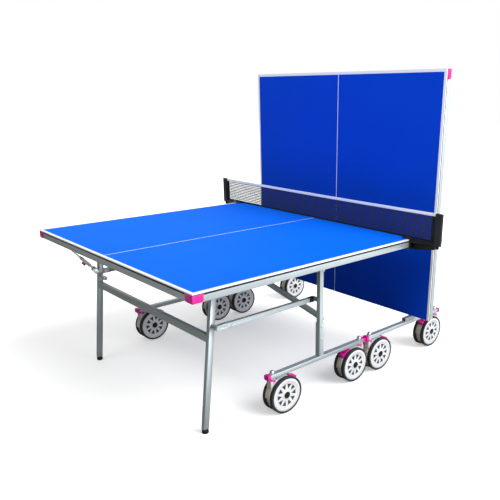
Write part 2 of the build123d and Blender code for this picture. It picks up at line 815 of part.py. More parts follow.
def brake_pedal():
    """Curved pedal over the fender, with a thick rounded toe."""
    toe = radians(pedal_angle - pedal_bulb_turn)
    toe_u = wheel_trail + pedal_bulb_at * cos(toe)
    toe_z = wheel_radius + pedal_bulb_at * sin(toe)
    with BuildPart() as piece:
        add(pedal_sector(housing_half, pedal_inner, pedal_outer, pedal_half_angle))
        add(pedal_sector(pedal_stem_width / 2, pedal_stem_foot, pedal_inner + 1, pedal_stem_half_angle))
        with BuildSketch(Plane(origin=(toe_u, -housing_half, toe_z), z_dir=(0, 1, 0))):
            Circle(pedal_bulb_radius)
        extrude(amount=2 * housing_half)
        add(pedal_pin(pedal_pin_radius + pin_clearance, pedal_stem_width), mode=Mode.SUBTRACT)
    return piece.part


def hub(side):
    """Moulded wheel centre: boss, windowed web and rim."""
    rim_outer = wheel_radius - tyre_depth
    rim_inner = rim_outer - hub_rim
    near = wheel_gap / 2
    far = near + wheel_width
    web_far = far - hub_web_recess
    web_near = web_far - hub_web
    bore = axle_radius + axle_clearance
    with BuildPart() as piece:
        with BuildSketch(Plane.XY):
            with BuildLine():
                Polyline(
                    (bore, near),
                    (hub_boss_radius, near),
                    (hub_boss_radius, web_near),
                    (rim_inner, web_near),
                    (rim_inner, near),
                    (rim_outer, near),
                    (rim_outer, far),
                    (rim_inner, far),
                    (rim_inner, web_far),
                    (hub_boss_radius, web_far),
                    (hub_boss_radius, far),
                    (bore, far),
                    close=True,
                )
            make_face()
        revolve(axis=Axis.Y)
        outer_window = rim_inner - window_margin
        half_in = window_inner * tan(radians(180 / spoke_count)) - spoke_width / 2
        half_out = outer_window * tan(radians(180 / spoke_count)) - spoke_width / 2
        window = (
            (window_inner, -half_in),
            (outer_window, -half_out),
            (outer_window, half_out),
            (window_inner, half_in),
        )
        with BuildSketch(Plane.XZ.offset(-web_near + 1)):
            with PolarLocations(0, spoke_count):
                Polygon(*window, align=None)
        extrude(amount=-hub_web - 2, mode=Mode.SUBTRACT)
    placed = piece.part if side > 0 else piece.part.rotate(Axis.Z, 180)
    return placed.moved(Location((wheel_trail, 0, wheel_radius)))


def tyre(side):
    near = wheel_gap / 2
    far = near + wheel_width
    inner = wheel_radius - tyre_depth
    with BuildPart() as piece:
        with BuildSketch(Plane.XY):
            with BuildLine():
                Polyline(
                    (inner, near),
                    (wheel_radius - tyre_chamfer, near),
                    (wheel_radius, near + tyre_chamfer),
                    (wheel_radius, far - tyre_chamfer),
                    (wheel_radius - tyre_chamfer, far),
                    (inner, far),
                    close=True,
                )
            make_face()
        revolve(axis=Axis.Y)
    placed = piece.part if side > 0 else piece.part.rotate(Axis.Z, 180)
    return placed.moved(Location((wheel_trail, 0, wheel_radius)))


# ================================================================ net
def block(low, high, u_span, v_span, bore=None):
    """Upright block between two heights; bore is the middle and radius of a hole through it."""
    with BuildPart() as piece:
        with BuildSketch(Plane(origin=((u_span[0] + u_span[1]) / 2, (v_span[0] + v_span[1]) / 2, low))):
            Rectangle(u_span[1] - u_span[0], abs(v_span[1] - v_span[0]))
        extrude(amount=high - low)
        if bore:
            with BuildSketch(Plane(origin=(bore[0], bore[1], low))):
                Circle(bore[2])
            extrude(amount=high - low, mode=Mode.SUBTRACT)
    return piece.part


def net_post(side):
    """Upright, arm and clamp jaw that grips the table beside the net."""
    edge = table_width / 2
    back = edge + clamp_gap
    out = back + clamp_wall
    jaw_top = play_height + clamp_gap + clamp_wall
    jaw_low = apron_bottom - clamp_gap - clamp_wall
    arm_low = play_height - clamp_arm_height
    arm_end = net_post_v - net_post_width / 2
    span = (clamp_u - clamp_width / 2, clamp_u + clamp_width / 2)
    screw = (clamp_u, side * (edge - clamp_reach / 2), screw_radius + pin_clearance)
    with BuildPart() as upright:
        with BuildSketch(Plane(origin=(net_u, side * net_post_v, arm_low))):
            RectangleRounded(net_post_depth, net_post_width, net_post_corner)
        extrude(amount=play_height + net_height - arm_low)
    with BuildPart() as arm:
        with BuildSketch(Plane.XY.offset(arm_low)):
            with Locations((clamp_u, side * (out + 1))):
                Rectangle(clamp_width, 2)
            with Locations((net_u, side * (arm_end - 1))):
                Rectangle(net_post_depth - 2 * net_post_corner, 2)
            make_hull()
        extrude(amount=clamp_arm_height)
    return [
        upright.part,
        arm.part,
        block(jaw_low, jaw_top, span, (side * back, side * out)),
        block(jaw_top - clamp_wall, jaw_top, span, (side * (edge - clamp_reach), side * back)),
        block(jaw_low, jaw_low + clamp_wall, span, (side * (edge - clamp_reach), side * back), screw),
    ]


def clamp_screw(side):
    """Clamp screw through the lower jaw, with a wing grip."""
    jaw_low = apron_bottom - clamp_gap - clamp_wall
    grip_low = jaw_low - side_clearance - wing_height
    with BuildPart() as piece:
        with BuildSketch(Plane(origin=(clamp_u, side * (table_width / 2 - clamp_reach / 2), grip_low))):
            SlotOverall(wing_length, wing_thickness)
        extrude(amount=wing_height)
        with BuildSketch(Plane(origin=(clamp_u, side * (table_width / 2 - clamp_reach / 2), grip_low))):
            Circle(screw_radius)
        extrude(amount=wing_height + side_clearance + clamp_wall + clamp_gap / 2)
    return piece.part


def net_sheet():
    """The net, as one flat sheet between the posts."""
    length = net_length - 2 * net_post_width
    with BuildPart() as piece:
        with BuildSketch(Plane(origin=(net_u, 0, play_height + 0.5))):
            Rectangle(net_thickness, length - 0.6)
        extrude(amount=net_height - 0.5)
    return piece.part


# ================================================================ the table
def build():
    os.makedirs("parts", exist_ok=True)
    caster = {
        "caster_housing": [caster_housing()],
        "caster_hubs": both_sides(hub),
        "caster_tyres": both_sides(tyre),
        "brake_pedal": [brake_pedal()],
    }
    for half in ("a", "b"):
        place = places[half]
        middle = rail_middle[half]
        save(f"table_board_{half}", [board()], place["top"])
        save(f"apron_frame_{half}", apron_frame(), place["top"])
        save(f"corner_caps_{half}", both_sides(corner_cap), place["top"])
        save(f"leg_frame_{half}", leg_frame(), place["leg"])
        for number, side in ((1, -1), (2, 1)):
            save(f"levelling_foot_{half}{number}", [levelling_foot(side)], place["leg"])
        save(f"link_bars_{half}", both_sides(link_bar), place["link"])
        save(f"leg_stay_{half}", [leg_stay()], place["stay"])
        save(f"stay_catch_{half}", [stay_catch()], place["stay"])
        save(f"trolley_frame_{half}", trolley_frame(half), place["trolley"])
        bolts = [(middle + end * bolt_spacing / 2, side * side_v, end) for end in (-1, 1) for side in (-1, 1)]
        caps = [rail_end_cap(side, middle, end) for end in (-1, 1) for side in (-1, 1)]
        save(f"rail_end_caps_{half}", caps, place["trolley"])
        shanks = [caster_bolt().moved(Location((u, v, 0))) for u, v, end in bolts]
        save(f"caster_bolts_{half}", shanks, place["trolley"])
        for number, (u, v, end) in enumerate(bolts, 1):
            turn = 180 if end > 0 else 0
            stand = place["trolley"] * Location((u, v, 0), (0, 0, turn))
            for name, solids in caster.items():
                save(f"{name}_{half}{number}", solids, stand)
    save("net_posts", net_post(1) + net_post(-1), places["a"]["top"])
    for number, side in ((1, -1), (2, 1)):
        save(f"net_clamp_screw_{number}", [clamp_screw(side)], places["a"]["top"])
    save("net_sheet", [net_sheet()], places["a"]["top"])


build()
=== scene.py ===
import json
import math

import bpy
from mathutils import Euler, Matrix, Vector

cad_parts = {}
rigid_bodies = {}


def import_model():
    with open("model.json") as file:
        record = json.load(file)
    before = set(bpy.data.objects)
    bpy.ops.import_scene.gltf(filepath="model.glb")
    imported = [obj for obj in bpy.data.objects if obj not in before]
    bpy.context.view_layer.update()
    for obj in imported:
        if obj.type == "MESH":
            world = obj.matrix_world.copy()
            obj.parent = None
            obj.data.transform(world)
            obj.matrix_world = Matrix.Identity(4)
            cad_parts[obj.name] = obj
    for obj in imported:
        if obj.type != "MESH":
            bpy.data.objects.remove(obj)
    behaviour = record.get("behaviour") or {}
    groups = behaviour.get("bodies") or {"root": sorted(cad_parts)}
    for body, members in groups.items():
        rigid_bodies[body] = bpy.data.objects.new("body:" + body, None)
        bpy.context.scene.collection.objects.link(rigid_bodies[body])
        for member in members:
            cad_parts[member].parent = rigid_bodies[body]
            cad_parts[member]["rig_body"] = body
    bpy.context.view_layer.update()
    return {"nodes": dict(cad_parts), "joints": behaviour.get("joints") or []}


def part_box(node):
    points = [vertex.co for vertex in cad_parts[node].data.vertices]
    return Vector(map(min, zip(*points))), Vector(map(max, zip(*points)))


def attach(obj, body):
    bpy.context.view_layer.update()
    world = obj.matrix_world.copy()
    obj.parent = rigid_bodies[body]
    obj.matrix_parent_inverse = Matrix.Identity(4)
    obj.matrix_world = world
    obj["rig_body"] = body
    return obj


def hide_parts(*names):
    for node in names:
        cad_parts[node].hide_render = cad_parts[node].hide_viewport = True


bl_info = {
    "name": "Rollaway ping pong table",
    "version": (1, 0, 0),
    "blender": (4, 5, 0),
    "location": "View3D > Sidebar > Ping pong table",
    "description": "Dresses a folding rollaway ping pong table and sets it in a plain studio",
    "category": "Object",
}

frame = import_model()
NODES = frame["nodes"]
JOINTS = {joint["name"]: joint for joint in frame["joints"]}
HALVES = ("a", "b")
CASTERS = tuple(half + str(number) for half in HALVES for number in (1, 2, 3, 4))
ORIGIN = (0.0, 0.0, 0.0)
UNTURNED = (0.0, 0.0, 0.0)


# ---------------------------------------------------------------- settings
def colour(name, description, default):
    """A setting for a colour."""
    return bpy.props.FloatVectorProperty(
        name=name,
        description=description,
        default=default,
        subtype="COLOR",
        size=3,
        min=0.0,
        max=1.0,
    )


def length(name, description, default):
    """A setting for a length in metres."""
    return bpy.props.FloatProperty(
        name=name, description=description, default=default, min=0.0, unit="LENGTH"
    )


def amount(name, description, default):
    """A setting for a plain number."""
    return bpy.props.FloatProperty(name=name, description=description, default=default)


class TableColours(bpy.types.PropertyGroup):
    playing_blue: colour("Lowered board", "Blue of the board that is down", (0.0012, 0.15, 0.90))
    # The upright board is the same blue board as the lowered one. This darker blue is painted shade
    # for its less lit upright face.
    upright_blue: colour("Upright board", "Blue of the board that stands up", (0.0009, 0.055, 0.61))
    line_white: colour("Lines", "White of the painted lines", (0.86, 0.88, 0.9))
    # Near-black painted shade for the shadow gap between board and apron, painted on the apron's
    # edge next to the board.
    seal: colour("Painted gap shade", "Dark strip between board and apron", (0.008, 0.008, 0.008))
    underside: colour("Underside", "Back of the boards", (0.03, 0.045, 0.09))
    steel: colour("Frame", "Silver coat of the steel frame", (0.49, 0.56, 0.585))
    magenta: colour("Caps", "Moulded end caps and pedals", (0.69, 0.005, 0.29))
    cream: colour("Fenders", "Moulded caster fenders", (0.62, 0.56, 0.50))
    white: colour("Wheel centres", "Moulded wheel centres", (0.70, 0.72, 0.75))
    black: colour("Black parts", "Tyres, net posts and feet", (0.012, 0.013, 0.015))


class TableSizes(bpy.types.PropertyGroup):
    line_width: length("Edge line", "Width of the white lines along the edges", 0.015)
    centre_line: length("Centre line", "Width of the white line along the middle", 0.004)
    tape_height: length("Net tape", "Height of the white tape along the net", 0.016)
    mesh_pitch: length("Net mesh", "Spacing of the net's cords", 0.011)
    edge_softness: length("Edge softness", "Rounding of the moulded and rolled edges", 0.0012)


class StageSettings(bpy.types.PropertyGroup):
    camera_at: bpy.props.FloatVectorProperty(
        name="Camera",
        description="Where the camera stands",
        default=(-2.0282, -2.5657, 1.4593),
        subtype="XYZ",
        size=3,
    )
    heading: amount("Heading", "Way the camera looks, clockwise from +Y, in degrees", 44.62)
    tilt: amount("Tilt", "Camera's tilt above the horizon, in degrees", -18.769)
    roll: amount("Roll", "Camera's roll, in degrees", 0.578)
    lens: amount("Lens", "Focal length in millimetres on a 36 mm sensor", 41.881)
    shift_x: amount("Shift across", "Sideways shift of the picture", -0.14)
    shift_y: amount("Shift up", "Upward shift of the picture", 0.092)
    floor: colour("Floor", "Colour of the floor", (0.92, 0.92, 0.92))
    floor_glow: amount("Floor glow", "Light that the floor itself gives off", 0.4)
    key: amount("Key light", "Strength of the large soft light in front", 2.6)
    overhead: amount("Overhead light", "Strength of the soft light above the lowered half", 1.8)
    fill: amount("Fill light", "Strength of the low soft light in front", 0.8)
    ambient: amount("Ambient", "Strength of the room's light", 1.0)


# ---------------------------------------------------------------- shader sums
class Sum:
    """A value in a shader tree, so that sums can be written as plain expressions."""

    def __init__(self, paint, socket):
        self.paint = paint
        self.socket = socket

    def _math(self, operation, *values):
        return self.paint.node("ShaderNodeMath", {"operation": operation}, dict(enumerate(values)))

    def __add__(self, other):
        return self._math("ADD", self, other)

    def __sub__(self, other):
        return self._math("SUBTRACT", self, other)

    def __rsub__(self, other):
        return self._math("SUBTRACT", other, self)

    def __mul__(self, other):
        return self._math("MULTIPLY", self, other)

    def __truediv__(self, other):
        return self._math("DIVIDE", self, other)

    def __lt__(self, other):
        return self._math("LESS_THAN", self, other)

    def __gt__(self, other):
        return self._math("GREATER_THAN", self, other)

    def __abs__(self):
        return self._math("ABSOLUTE", self)

    def least(self, other):
        """The smaller of two values."""
        return self._math("MINIMUM", self, other)

    def most(self, other):
        """The larger of two values."""
        return self._math("MAXIMUM", self, other)

    def fraction(self):
        """What is left of the value above its whole number."""
        return self._math("FRACT", self)


class Paint:
    """A material under construction."""

    # Sockets of a mix node that carry colours.
    COLOUR_A, COLOUR_B, COLOUR_OUT = 6, 7, 2

    def __init__(self, name, **settings):
        self.material = bpy.data.materials.new(name)
        self.material.use_nodes = True
        self.tree = self.material.node_tree
        self.shader = self.tree.nodes["Principled BSDF"]
        for socket, value in settings.items():
            self.shader.inputs[socket.replace("_", " ")].default_value = value

    def node(self, kind, settings=None, links=None, out=0):
        """Add a node and give one of its outputs."""
        made = self.tree.nodes.new(kind)
        for key, value in (settings or {}).items():
            setattr(made, key, value)
        for key, value in (links or {}).items():
            self.put(made.inputs[key], value)
        return Sum(self, made.outputs[out])

    def put(self, socket, value):
        """Link a socket to a value in the tree, or set it to a plain one."""
        if isinstance(value, Sum):
            self.tree.links.new(value.socket, socket)
        else:
            socket.default_value = value

    def feed(self, name, value):
        """Give the surface one of its inputs."""
        self.put(self.shader.inputs[name], value)

    def place(self):
        """Where a point lies in its piece's own frame."""
        return self.node("ShaderNodeTexCoord", out="Object")

    def axes(self, vector):
        """A vector's three parts."""
        links = {"Vector": vector}
        return [self.node("ShaderNodeSeparateXYZ", links=links, out=axis) for axis in "XYZ"]

    def noise(self, vector, scale, detail=3.0):
        links = {"Vector": vector, "Scale": scale, "Detail": detail}
        return self.node("ShaderNodeTexNoise", links=links)

    def mix(self, factor, first, second):
        made = self.tree.nodes.new("ShaderNodeMix")
        made.data_type = "RGBA"
        self.put(made.inputs[0], factor)
        self.put(made.inputs[self.COLOUR_A], first)
        self.put(made.inputs[self.COLOUR_B], second)
        return Sum(self, made.outputs[self.COLOUR_OUT])

    def bump(self, height, strength, distance):
        links = {"Strength": strength, "Distance": distance, "Height": height}
        self.feed("Normal", self.node("ShaderNodeBump", links=links))


def solid(rgb, factor=1.0):
    """A colour made lighter or darker, with full opacity."""
    return tuple(min(1.0, channel * factor) for channel in rgb) + (1.0,)


# ---------------------------------------------------------------- finishes
def board_paint(half, blue):
    """Satin board with white lines along its outer end, its sides and its middle."""
    rim_width, skin = 0.0004, 0.0008
    colours, sizes = bpy.context.scene.table_colours, bpy.context.scene.table_sizes
    low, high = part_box("table_board_" + half)
    paint = Paint("board " + half, Roughness=0.7, Specular_IOR_Level=0.05)
    at = paint.place()
    x, y, z = paint.axes(at)
    if half == "a":
        from_end, from_net, depth = x - low.x, high.x - x, z - low.z
    else:
        from_end, from_net, depth = high.z - z, z - low.z, high.x - x
    from_side = (y - low.y).least(high.y - y)
    edge = from_end.least(from_side) < sizes.line_width
    rim = from_net < rim_width
    middle = abs(y) < sizes.centre_line / 2
    grain = paint.noise(at, 900.0, 2.0)
    cloud = paint.noise(at, 3.0, 2.0)
    ground = paint.mix(cloud, solid(blue, 0.94), solid(blue, 1.05))
    face = paint.mix(edge.most(middle).most(rim), ground, solid(colours.line_white))
    paint.feed("Base Color", paint.mix(depth < skin, face, solid(colours.underside)))
    paint.feed("Roughness", grain * 0.12 + 0.66)
    paint.bump(grain, 0.08, 0.0004)
    return paint.material


def silver_coat(paint, at):
    """Fine orange peel and faint mottling. Gives the coat's colour and its flecks."""
    steel = bpy.context.scene.table_colours.steel
    cloud = paint.noise(at, 14.0, 4.0)
    fleck = paint.noise(at, 420.0, 2.0)
    paint.feed("Roughness", cloud * 0.16 + 0.32)
    paint.bump(fleck, 0.06, 0.0003)
    return paint.mix(cloud, solid(steel, 0.9), solid(steel, 1.08)), fleck


def steel_paint():
    """Silver coat on steel tube, with slightly duller flecks."""
    paint = Paint("silver frame", Metallic=0.5, Roughness=0.38)
    coat, fleck = silver_coat(paint, paint.place())
    dull = solid(bpy.context.scene.table_colours.steel, 0.82)
    paint.feed("Base Color", paint.mix(fleck * 0.35, coat, dull))
    return paint.material


def apron_paint(half):
    """The frame's silver coat, with a thin near-black band of painted shade along its edge next to
    the board, for the shadow in the gap under the board.
    """
    gap_shade_height = 0.008
    paint = Paint("silver apron " + half, Metallic=0.5, Roughness=0.38)
    at = paint.place()
    x, _, z = paint.axes(at)
    board_low, board_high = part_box("table_board_" + half)
    from_board = board_low.z - z if half == "a" else x - board_high.x
    coat, _ = silver_coat(paint, at)
    seal = solid(bpy.context.scene.table_colours.seal)
    # Painted shade: the apron's band next to the board is painted near black for the shadow in the
    # gap under the board.
    paint.feed("Base Color", paint.mix(from_board < gap_shade_height, coat, seal))
    return paint.material


def moulding(paint, at, rgb, roughness):
    """Fine grain on moulded plastic. Gives its slightly uneven colour."""
    cloud = paint.noise(at, 25.0, 2.0)
    grain = paint.noise(at, 700.0, 2.0)
    paint.feed("Roughness", grain * 0.14 + (roughness - 0.07))
    paint.bump(grain, 0.12, 0.0004)
    return paint.mix(cloud, solid(rgb, 0.92), solid(rgb, 1.06))


def moulded_paint(name, rgb, roughness, specular=0.5):
    """Moulded plastic in one colour."""
    paint = Paint(name, Roughness=roughness, Specular_IOR_Level=specular)
    paint.feed("Base Color", moulding(paint, paint.place(), rgb, roughness))
    return paint.material


def fender_paint():
    """Cream moulding whose fork head, near the rail, is a pale steel grey."""
    head_bottom, roughness = 0.168, 0.5
    colours = bpy.context.scene.table_colours
    paint = Paint("fender plastic", Roughness=roughness)
    at = paint.place()
    cream = moulding(paint, at, colours.cream, roughness)
    head = paint.axes(at)[2] > head_bottom
    paint.feed("Base Color", paint.mix(head, cream, solid(colours.steel)))
    return paint.material


def catch_paint(half):
    """Bright plate on the catch's sleeve, and magenta plastic on the lever beside it."""
    sleeve_half = 0.0095
    colours = bpy.context.scene.table_colours
    pivot = JOINTS["stay_turn_" + half]["pos_m"]
    axis = Vector(JOINTS["catch_slide_" + half]["axis"]).normalized()
    paint = Paint("stay catch " + half, Roughness=0.38)
    at = paint.place()
    x, _, z = paint.axes(at)
    aside = abs((x - pivot[0]) * axis.z - (z - pivot[2]) * axis.x)
    lever = aside > sleeve_half
    grain = paint.noise(at, 400.0, 3.0)
    plate = paint.mix(grain, (0.80, 0.81, 0.82, 1.0), (0.88, 0.89, 0.90, 1.0))
    paint.feed("Base Color", paint.mix(lever, plate, solid(colours.magenta)))
    paint.feed("Roughness", grain * 0.15 + 0.3)
    return paint.material


def zinc_paint():
    """Bright zinc plate with a faint brushed grain."""
    paint = Paint("zinc", Metallic=0.9, Roughness=0.3)
    at = paint.place()
    grain = paint.noise(at, 260.0, 4.0)
    paint.feed("Base Color", paint.mix(grain, (0.62, 0.63, 0.64, 1.0), (0.82, 0.83, 0.84, 1.0)))
    paint.feed("Roughness", grain * 0.2 + 0.22)
    return paint.material


def rubber_paint():
    """Dull black rubber with a fine grain."""
    colours = bpy.context.scene.table_colours
    paint = Paint("tyre rubber", Roughness=0.62)
    at = paint.place()
    grain = paint.noise(at, 300.0, 3.0)
    paint.feed("Base Color", paint.mix(grain, solid(colours.black), (0.03, 0.031, 0.034, 1.0)))
    paint.feed("Roughness", grain * 0.2 + 0.52)
    paint.bump(grain, 0.2, 0.0004)
    return paint.material


def net_paint():
    """Knotted cords with open holes between them, each hole a little over half a pitch wide."""
    hole_half = 0.27
    paint = Paint("net cords", Roughness=0.85)
    _, y, z = paint.axes(paint.place())
    pitch = bpy.context.scene.table_sizes.mesh_pitch
    across = abs((y / pitch).fraction() - 0.5)
    up = abs((z / pitch).fraction() - 0.5)
    cord = (across > hole_half).most(up > hole_half)
    thread = paint.noise(paint.place(), 1500.0, 1.0)
    dark, light = (0.006, 0.008, 0.016, 1.0), (0.02, 0.024, 0.04, 1.0)
    paint.feed("Base Color", paint.mix(thread, dark, light))
    paint.feed("Alpha", cord)
    return paint.material


def tape_paint():
    """White cotton tape with a plain weave."""
    threads = 900.0
    paint = Paint("net_tape", Roughness=0.8)
    _, y, z = paint.axes(paint.place())
    weave = abs((y * threads).fraction() - 0.5) * abs((z * threads).fraction() - 0.5)
    dark, light = (0.9, 0.9, 0.91, 1.0), (0.97, 0.97, 0.98, 1.0)
    paint.feed("Base Color", paint.mix(weave * 2.0, dark, light))
    paint.bump(weave, 0.3, 0.0005)
    return paint.material


def cloth_paint(name, dark, light):
    """Dull cloth for the studio's screens."""
    paint = Paint(name, Roughness=0.9)
    weave = paint.noise(paint.place(), 40.0, 2.0)
    paint.feed("Base Color", paint.mix(weave, dark, light))
    return paint.material


FINISHES = {}


def make_finishes():
    """Make every material of the table from the settings."""
    colours = bpy.context.scene.table_colours
    FINISHES.update(
        board_a=board_paint("a", colours.playing_blue),
        # Board b gets the darker blue: painted shade for the upright board's face.
        board_b=board_paint("b", colours.upright_blue),
        steel=steel_paint(),
        apron_a=apron_paint("a"),
        apron_b=apron_paint("b"),
        catch_a=catch_paint("a"),
        catch_b=catch_paint("b"),
        magenta=moulded_paint("magenta plastic", colours.magenta, 0.4),
        fender=fender_paint(),
        white=moulded_paint("white plastic", colours.white, 0.35),
        black=moulded_paint("black coat", colours.black, 0.4, 0.2),
        zinc=zinc_paint(),
        rubber=rubber_paint(),
        net=net_paint(),
        tape=tape_paint(),
    )


def finish_piece(piece, finish):
    """Give a piece one material all over."""
    piece.data.materials.clear()
    piece.data.materials.append(FINISHES[finish])


# ---------------------------------------------------------------- modelling helpers
def start():
    """Leave edit mode with nothing selected."""
    if bpy.context.object and bpy.context.object.mode != "OBJECT":
        bpy.ops.object.mode_set(mode="OBJECT")
    bpy.ops.object.select_all(action="DESELECT")


def activate(piece):
    """Select one piece alone."""
    start()
    piece.select_set(True)
    bpy.context.view_layer.objects.active = piece


def settle(piece):
    """Put a piece's place, turn and size into its mesh."""
    activate(piece)
    bpy.ops.object.transform_apply(location=True, rotation=True, scale=True)


def soften(piece, width, segments=2, angle=35.0):
    """Round the edges that are sharper than an angle in degrees, and shade the piece smoothly."""
    activate(piece)
    bevel = piece.modifiers.new("soft edges", "BEVEL")
    bevel.width = width
    bevel.segments = segments
    bevel.limit_method = "ANGLE"
    bevel.angle_limit = math.radians(angle)
    bevel.use_clamp_overlap = True
    bevel.harden_normals = True
    bpy.ops.object.modifier_apply(modifier=bevel.name)
    bpy.ops.object.shade_smooth_by_angle(angle=math.radians(angle))


def cylinder(name, radius, depth, at=ORIGIN, vertices=48):
    """An upright cylinder."""
    start()
    bpy.ops.mesh.primitive_cylinder_add(vertices=vertices, radius=radius, depth=depth, location=at)
    piece = bpy.context.object
    piece.name = name
    settle(piece)
    return piece


def cube(name, size, at, turn=UNTURNED):
    """A block of the given size."""
    start()
    bpy.ops.mesh.primitive_cube_add(size=1.0, location=at, rotation=turn, scale=size)
    piece = bpy.context.object
    piece.name = name
    settle(piece)
    return piece


def pick_faces(piece, wanted):
    """In edit mode on the piece, select the faces that the test wants."""
    activate(piece)
    bpy.ops.object.mode_set(mode="EDIT")
    bpy.ops.mesh.select_mode(type="FACE")
    bpy.ops.mesh.select_all(action="DESELECT")
    bpy.ops.object.mode_set(mode="OBJECT")
    for face in piece.data.polygons:
        face.select = bool(wanted(face))
    bpy.ops.object.mode_set(mode="EDIT")


def step_cap(piece, side, steps):
    """Shape the flat cap of an upright cylinder by insets and pushes, outermost first."""
    pick_faces(piece, lambda face: face.normal.z * side > 0.9)
    for inset, push in steps:
        if inset:
            bpy.ops.mesh.inset(thickness=inset, depth=0.0)
        if push:
            move = {"value": (0.0, 0.0, push * side)}
            bpy.ops.mesh.extrude_region_move(TRANSFORM_OT_translate=move)
    bpy.ops.object.mode_set(mode="OBJECT")


def groove(piece, beyond, wall, depth):
    """Press in every other face of an upright cylinder's side, where it stands beyond a radius."""

    def pressed(face):
        on_side = abs(face.normal.z) < 0.2 and face.center.xy.length > beyond
        return on_side and face.index % 2 == 0

    pick_faces(piece, pressed)
    bpy.ops.mesh.inset(thickness=wall, depth=-depth, use_individual=True)
    bpy.ops.object.mode_set(mode="OBJECT")


def join(pieces, name):
    """Make one piece of several."""
    start()
    for piece in pieces:
        piece.select_set(True)
    bpy.context.view_layer.objects.active = pieces[0]
    bpy.ops.object.join()
    joined = bpy.context.object
    joined.name = name
    return joined


def copy_of(piece, name, move):
    """A copy with its own mesh, moved to its place."""
    made = piece.copy()
    made.data = piece.data.copy()
    made.name = name
    bpy.context.scene.collection.objects.link(made)
    made.data.transform(move)
    return made


def discard(piece):
    """Take a piece out of the scene."""
    bpy.data.objects.remove(piece, do_unlink=True)


def dressed(node, finish, softness=None):
    """A copy of a CAD node with its triangles merged, its edges rounded and its own finish."""
    merge_distance, flat_angle = 0.00002, math.radians(1.0)
    source = NODES[node]
    piece = source.copy()
    piece.data = source.data.copy()
    piece.name = "dressed_" + node
    piece.parent = None
    for key in list(piece.keys()):
        if key.startswith("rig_"):
            del piece[key]
    bpy.context.scene.collection.objects.link(piece)
    activate(piece)
    bpy.ops.object.mode_set(mode="EDIT")
    bpy.ops.mesh.select_all(action="SELECT")
    bpy.ops.mesh.remove_doubles(threshold=merge_distance)
    bpy.ops.mesh.dissolve_limited(angle_limit=flat_angle)
    bpy.ops.object.mode_set(mode="OBJECT")
    soften(piece, softness or bpy.context.scene.table_sizes.edge_softness)
    finish_piece(piece, finish)
    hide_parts(node)
    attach(piece, source["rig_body"])
    return piece


def carve(piece, cutter):
    """Cut one closed piece out of another."""
    activate(piece)
    cut = piece.modifiers.new("cut", "BOOLEAN")
    cut.operation = "DIFFERENCE"
    cut.solver = "EXACT"
    cut.object = cutter
    bpy.ops.object.modifier_apply(modifier=cut.name)
    discard(cutter)


def tube_ring(name, inner, outer, height):
    """An upright ring on the origin, with rounded edges."""
    ring = cylinder(name, outer, height, vertices=40)
    bore = cylinder("bore", inner, 2 * height, vertices=40)
    carve(ring, bore)
    soften(ring, 0.0012, 3, 40.0)
    return ring


def bolt_head(name, radius, height, at, turn=UNTURNED):
    """A six-sided head with a chamfered top on a thin washer."""
    head = cylinder("head", radius, height, (0.0, 0.0, height / 2), vertices=6)
    step_cap(head, 1, ((radius * 0.12, 0.0),))
    washer = cylinder("washer", radius * 1.3, height * 0.3, (0.0, 0.0, height * 0.15), vertices=32)
    bolt = join([head, washer], name)
    soften(bolt, height * 0.12, 2, 40.0)
    bolt.data.transform(Matrix.Translation(Vector(at)) @ Euler(turn).to_matrix().to_4x4())
    finish_piece(bolt, "zinc")
    return bolt


def along(half, joint, axis=None):
    """Frame of a folding bar at its pivot: X along it, Y across the table, Z square to both."""
    pivot = Vector(JOINTS[joint + half]["pos_m"])
    lies_towards = {"a": (-1.0, 0.0, 0.0), "b": (0.0, 0.0, 1.0)}
    ahead = Vector(axis or lies_towards[half])
    side = Vector((0.0, 1.0, 0.0))
    turn = Matrix((ahead, side, ahead.cross(side))).transposed().to_4x4()
    return Matrix.Translation(pivot) @ turn


# ---------------------------------------------------------------- pieces
class TABLE_OT_boards(bpy.types.Operator):
    """Paint the two playing boards with their lines"""

    bl_idname = "table.boards"
    bl_label = "Playing boards"

    def execute(self, context):
        for half in HALVES:
            finish_piece(NODES["table_board_" + half], "board_" + half)
        return {"FINISHED"}


class TABLE_OT_frames(bpy.types.Operator):
    """Dress the apron frames, legs, links, stays and trolleys"""

    bl_idname = "table.frames"
    bl_label = "Steel frames"

    def execute(self, context):
        for half in HALVES:
            for node, finish, softness in (
                ("apron_frame_" + half, "apron_" + half, 0.0008),
                ("leg_frame_" + half, "steel", None),
                ("link_bars_" + half, "steel", 0.0008),
                ("trolley_frame_" + half, "steel", None),
                ("leg_stay_" + half, "zinc", 0.0006),
                ("stay_catch_" + half, "catch_" + half, 0.0008),
                ("corner_caps_" + half, "magenta", 0.0009),
                ("rail_end_caps_" + half, "magenta", None),
                ("caster_bolts_" + half, "zinc", 0.0006),
                ("levelling_foot_" + half + "1", "black", None),
                ("levelling_foot_" + half + "2", "black", None),
            ):
                dressed(node, finish, softness)
        return {"FINISHED"}


